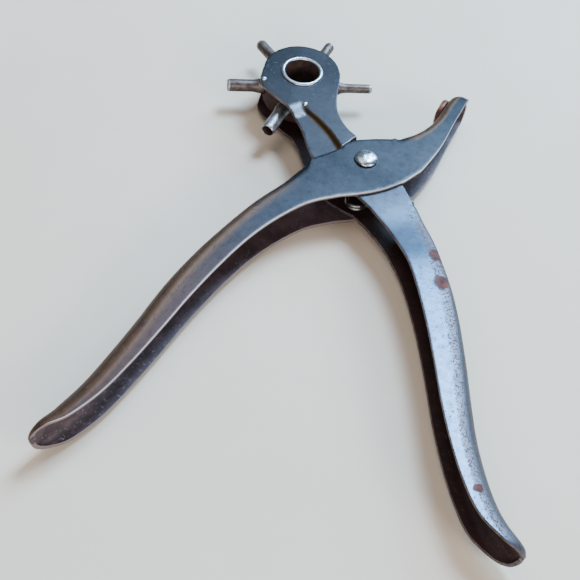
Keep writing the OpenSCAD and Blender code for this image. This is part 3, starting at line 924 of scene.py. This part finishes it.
def anvil_frame():
    """Matrix with Z through the pad, from its face into the jaw, for the open levers."""
    closed = HEAD + polar(TUBE_REACH + 0.1, PUNCH_ANGLE) + polar(1.5, PUNCH_ANGLE + 90)
    angle = math.radians(-CLOSING_ANGLE)
    x = closed[0] * math.cos(angle) - closed[1] * math.sin(angle)
    y = closed[0] * math.sin(angle) + closed[1] * math.cos(angle)
    turn = pointing(PUNCH_ANGLE - CLOSING_ANGLE)
    return Matrix.Translation((x + PIVOT[0], y + PIVOT[1], 0)) @ turn


def anvil(copper, rim):
    """Copper pad with a rubbed rim that is partly a painted highlight, and a stem peened over
    inside the jaw.
    """
    pad, thick, stem, length = 5.0, 2.0, 2.0, 4.6
    profile = [
        (0, 0.06),
        (2.5, 0.03),
        (pad - 0.7, 0),
        (pad - 0.15, 0.12),
        (pad, 0.45),
        (pad, thick - 0.2),
        (pad - 0.2, thick),
        (stem, thick),
        (stem, length),
        (stem + 0.8, length),
        (stem + 0.55, length + 0.45),
        (0, length + 0.8),
    ]
    zones = [0, 0, 1, 1, 0, 0, 0, 0, 0, 0, 0, 0]

    def dented(r, h, a):
        return r + 0.05 * noise.noise(Vector((math.cos(a) * 2, math.sin(a) * 2, h))) * (r > 4), h

    return lathe("anvil_skin", profile, [copper, rim], anvil_frame(), 96, zones, shape=dented)


def index_pins(material):
    """Two small studs in the upper head plate; their heads are rubbed bright."""
    pins = []
    for number, (reach, angle) in enumerate((EAR_STUD, NECK_STUD)):
        x, y = polar(reach, angle)
        profile = [
            (0, TOP + 0.55),
            (0.5, TOP + 0.48),
            (0.8, TOP + 0.25),
            (0.95, TOP - 0.02),
            (0.8, TOP - 0.1),
            (0.8, STUD_FOOT),
            (0, STUD_FOOT),
        ]
        place = Matrix.Translation((x, y, 0))
        pins.append(lathe(f"index_pin_{number + 1}", profile, [material], place, 32))
    return pins


def return_spring(material):
    """Wire coil under the pivot with a straight leg against each handle's fold."""
    centre, r = np.array((0.6, -12.6)), 3.6
    end_a, end_b = np.array((-24.87, -22.91)), np.array((24.99, -24.44))

    def leaves(point, side):
        d = point - centre
        spread = math.degrees(math.acos(r / np.linalg.norm(d)))
        return math.degrees(math.atan2(d[1], d[0])) + side * spread

    first, last = leaves(end_b, 1), leaves(end_a, -1) + 1080
    rise = 1.35 * (last - first) / 360
    coil = []
    for t in np.linspace(0, 1, 120):
        x, y = centre + polar(r, first + (last - first) * t)
        coil.append((x, y, rise * (t - 0.5)))

    def leg(end, joint):
        tip = (*end, joint[2])
        start, span = np.array(joint), np.array(tip) - np.array(joint)
        return [tuple(start + span * t) for t in np.linspace(0.04, 1, 24)]

    route = leg(end_b, coil[0])[::-1] + coil + leg(end_a, coil[-1])
    route = [(x + PIVOT[0], y + PIVOT[1], z) for x, y, z in route]
    return wire("return_spring_skin", route, WIRE_R, material)


def index_spring(material):
    """Bowed wire beside the tubes, hooked over both studs and resting in a rim detent."""
    detent = PUNCH_ANGLE + 210
    ear_r, ear = EAR_STUD
    neck_r, neck = NECK_STUD
    bow = WHEEL_R + 0.6
    stops = [(ear_r + 1.42, ear), (ear_r + 0.92, ear + 5.6), (bow + 0.3, ear + 9)]
    stops += [(bow - 0.1, detent - 3), (bow - 0.5, detent), (bow - 0.1, detent + 4)]
    stops += [(bow, a) for a in np.arange(detent + 12, neck - 12, 8)]
    stops += [(neck_r - 1.42, neck), (neck_r - 1.42, neck + 5)]
    route = spline([polar(*s) for s in stops], 6)
    route = [(x, y, INDEX_LEVEL) for x, y in route]
    return wire("index_spring_skin", route, INDEX_WIRE_R, material)


# ------------------------------------------------------------------ the scene
def floor():
    """Plain pale floor under the part, with a faint grain."""
    low = cad_box[0][2] - 0.0004
    verts, faces, n = [], [], 24
    for j in range(n + 1):
        for i in range(n + 1):
            verts.append(((i / n - 0.5) * 3000, (j / n - 0.5) * 3000, low / MM))
    for j in range(n):
        for i in range(n):
            a = j * (n + 1) + i
            faces.append((a, a + 1, a + n + 2, a + n + 1))
    g = Graph("floor_pale")
    tone = g.noise(0.02, 4, 0.6)
    colour = g.mix(tone, (0.62, 0.48, 0.36), (0.7, 0.56, 0.43))
    material = g.finish(colour, 0.75, g.noise(1.5, 4, 0.6), 0.02, 0.0)
    mesh_object("floor", verts, faces, [material])


def area_light(name, azimuth, elevation, distance, size, power, colour, target):
    """A soft square light aimed at the target from a compass direction, +Y being 0 and +X 90."""
    a, e = math.radians(azimuth), math.radians(elevation)
    away = Vector((math.sin(a) * math.cos(e), math.cos(a) * math.cos(e), math.sin(e)))
    data = bpy.data.lights.new(name, "AREA")
    data.shape = "RECTANGLE"
    data.size, data.size_y = size
    data.energy = power
    data.color = colour
    light = bpy.data.objects.new(name, data)
    light.location = Vector(target) + away * distance
    light.rotation_euler = away.to_track_quat("Z", "Y").to_euler()
    bpy.context.scene.collection.objects.link(light)


def lighting():
    world = bpy.data.worlds.new("studio")
    bpy.context.scene.world = world
    world.use_nodes = True
    background = world.node_tree.nodes["Background"]
    background.inputs["Color"].default_value = (0.62, 0.7, 0.82, 1)
    background.inputs["Strength"].default_value = 0.3
    centre = (0.03, -0.07, 0)
    area_light("window", 20, 58, 1.1, (0.36, 0.36), 30, (0.45, 0.69, 1), centre)
    area_light("front_fill", 175, 24, 1.3, (1.0, 0.3), 10, (1, 0.95, 0.9), centre)
    area_light("window_low", 27, 30, 1.1, (0.4, 0.5), 19, (0.36, 0.69, 1), centre)
    area_light("side_fill", 118, 28, 1.3, (0.5, 0.3), 11, (0.9, 0.95, 1), centre)
    area_light("top_fill", 280, 70, 1.4, (0.8, 0.8), 6, (1, 0.97, 0.93), centre)


def camera():
    data = bpy.data.cameras.new("photo_view")
    data.sensor_width = 36
    data.lens = 74.48
    data.clip_start, data.clip_end = 0.02, 20
    cam = bpy.data.objects.new("photo_view", data)
    right = Vector((0.96475, 0.24197, 0.10350))
    down = Vector((0.25366, -0.75017, -0.61066))
    forward = Vector((-0.07011, 0.61539, -0.78510))
    turn = Matrix((right, -down, -forward)).transposed().to_4x4()
    cam.matrix_world = Matrix.Translation((0.04670, -0.33062, 0.30252)) @ turn
    bpy.context.scene.collection.objects.link(cam)
    bpy.context.scene.camera = cam


def stand_for(obj, body, node):
    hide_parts(node)
    if body:
        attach(obj, body)


def build():
    # The anvil lever's cut faces: rubbed steel with a painted highlight on their upper half.
    cut_a = sheared_edge("sheared_edge_rubbed_highlight", (0.86, 0.88, 0.92), (0.2, 0.15, 0.145))
    cut_b = rusty(
        "sheared_edge_dull",
        (0.16, 0.13, 0.13),
        (0.05, 0.035, 0.035),
        (0.3, 0.27, 0.28),
        0.6,
        0.5,
        0.05,
    )
    inside_a = dark_inside(
        "oxide_inside_anvil_lever",
        (0.085, 0.05, 0.055),
        (0.3, 0.3, 0.36),
        (100, 170),
    )
    # Oxide darkened nearly to black: painted shade inside the turret lever's channel, which opens
    # away from the light.
    inside_b = dark_inside(
        "oxide_and_shade_inside_turret_lever",
        (0.03, 0.009, 0.008),
        (0.08, 0.05, 0.05),
        (60, 160),
    )
    skin_a = lever_steel(
        "anvil_lever_steel",
        (0.024, 0.025, 0.029),
        (0.037, 0.038, 0.043),
        # painted reflection of a wooden table, brown toward the handle's end
        (0.075, 0.047, 0.042),
        (64, 122),
        # on the folds: partly brown oxide, partly a painted reflection of wood
        (0.12, 0.066, 0.04),
        0.03,
        (),
        0.4,
    )
    shift_x, shift_y = PIVOT
    spots = [
        ((31.4 + shift_x, -34 + shift_y, TOP - 0.8), 3),
        ((34.6 + shift_x, -45.2 + shift_y, TOP), 2.9),
        ((57 + shift_x, -115.5 + shift_y, TOP), 1.5),
    ]
    skin_b = lever_steel(
        "turret_lever_steel",
        (0.042, 0.042, 0.047),
        (0.06, 0.06, 0.066),
        # painted reflection of the blue window light, bluer and brighter toward the handle's end
        (0.075, 0.105, 0.145),
        (48, 92),
        (0.1, 0.08, 0.085),
        0.06,
        spots,
        0.36,
    )
    bright = bright_steel("rubbed_bright_steel", (0.5, 0.53, 0.57), 0.3, 0.5)
    rivet = bright_steel("rivet_steel_worn", (0.45, 0.5, 0.55), 0.26, 0.8)
    spring = bright_steel("spring_wire", (0.28, 0.27, 0.27), 0.3, 0.8)
    wheel = rusty(
        "rusted_wheel_iron",
        (0.04, 0.011, 0.006),
        (0.014, 0.005, 0.004),
        (0.07, 0.022, 0.012),
        0.05,
        0.85,
    )
    tube_mid = rusty(
        "browned_tube_steel",
        (0.14, 0.11, 0.1),
        (0.055, 0.035, 0.03),
        (0.3, 0.27, 0.26),
        0.8,
        0.45,
        0.06,
    )
    tube_bright = rusty(
        "rubbed_tube_steel",
        (0.42, 0.43, 0.44),
        (0.2, 0.18, 0.17),
        (0.55, 0.56, 0.58),
        0.95,
        0.4,
        0.05,
    )
    bore = rusty(
        "dark_bore",
        (0.07, 0.034, 0.024),
        (0.02, 0.011, 0.01),
        (0.11, 0.06, 0.04),
        0.3,
        0.6,
    )
    copper = rusty(
        "anvil_copper_brown",
        (0.22, 0.095, 0.055),
        (0.1, 0.045, 0.03),
        (0.3, 0.15, 0.09),
        0.85,
        0.45,
        0.05,
    )
    # Bright copper on the pad's rim: rubbing with a painted highlight.
    copper_rim_wear_and_highlight = bright_steel("anvil_rim_rubbed_and_highlight", (0.78, 0.56, 0.44), 0.28, 0.3)

    lever_a = anvil_lever([skin_a, inside_a, cut_a])
    lever_b = turret_lever([skin_b, inside_b, cut_b])
    stand_for(lever_a, "anvil_lever", "anvil_lever")
    stand_for(lever_b, "turret_lever", "turret_lever")
    stand_for(pivot_rivet(rivet), "turret_lever", "pivot_rivet")
    stand_for(pivot_spacer(spring), "turret_lever", "pivot_spacer")
    stand_for(turret_axle(bright, bore), "turret_lever", "turret_axle")
    stand_for(turret_wheel(wheel), "turret", "turret_wheel")
    for i in range(6):
        outside = tube_bright if i == RUBBED_TUBE else tube_mid
        tube = punch_tube(i, outside, bore, tube_bright)
        stand_for(tube, "turret", f"punch_tube_{i + 1}")
    stand_for(anvil(copper, copper_rim_wear_and_highlight), "anvil_lever", "anvil")
    for pin in index_pins(bright):
        stand_for(pin, "turret_lever", "index_pins")
    coil = return_spring(spring)
    stand_for(coil, None, "return_spring")
    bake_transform(coil)
    stand_for(index_spring(spring), "turret_lever", "index_spring")


build()
floor()
lighting()
camera()
